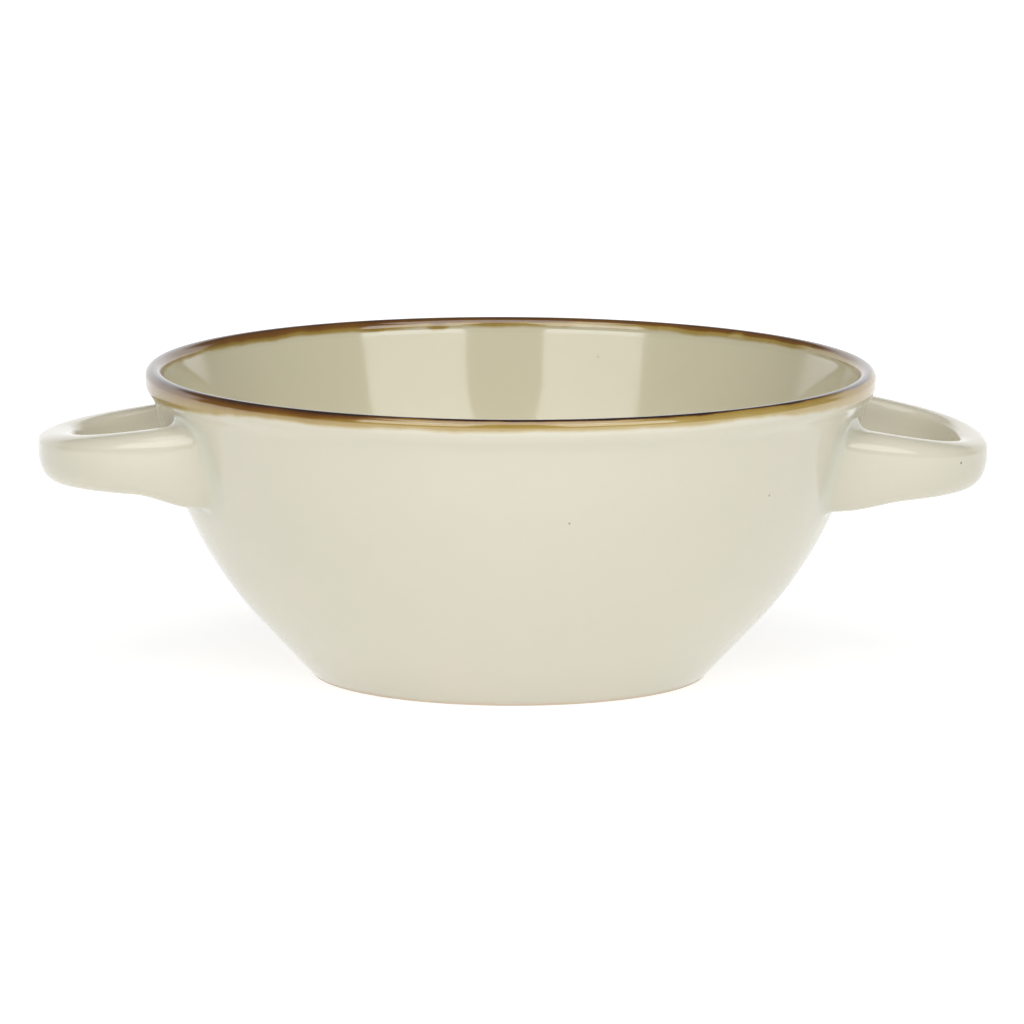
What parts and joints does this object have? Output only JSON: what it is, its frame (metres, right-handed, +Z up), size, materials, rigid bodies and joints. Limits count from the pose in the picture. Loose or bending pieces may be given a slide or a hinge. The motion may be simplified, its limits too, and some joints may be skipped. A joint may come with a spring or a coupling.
{
  "type": "lug soup bowl",
  "caption": "Round stoneware soup bowl with a level loop handle on each side, a turned foot ring and a brown glaze band on its rolled lip, for serving and lifting hot soup.",
  "frame": {"origin": "on the table, at the middle of the foot ring", "axes": "+Z up along the bowl's axis, +X along the line through both handles"},
  "size_m": [0.1836, 0.14, 0.0592],
  "materials": {
    "cream_glaze": "glossy cream glaze over stoneware, with a few small iron specks; the foot's standing face is bare clay",
    "brown_rim_glaze": "glossy brown iron glaze, darkest on the crest and thinning to ochre at its edges"
  },
  "bodies": {
    "root": {"bowl_body": "cream_glaze", "rim_band": "brown_rim_glaze", "right_handle": "cream_glaze", "left_handle": "cream_glaze", "right_front_slip_joint": "cream_glaze", "right_rear_slip_joint": "cream_glaze", "left_front_slip_joint": "cream_glaze", "left_rear_slip_joint": "cream_glaze"}
  },
  "joints": []
}
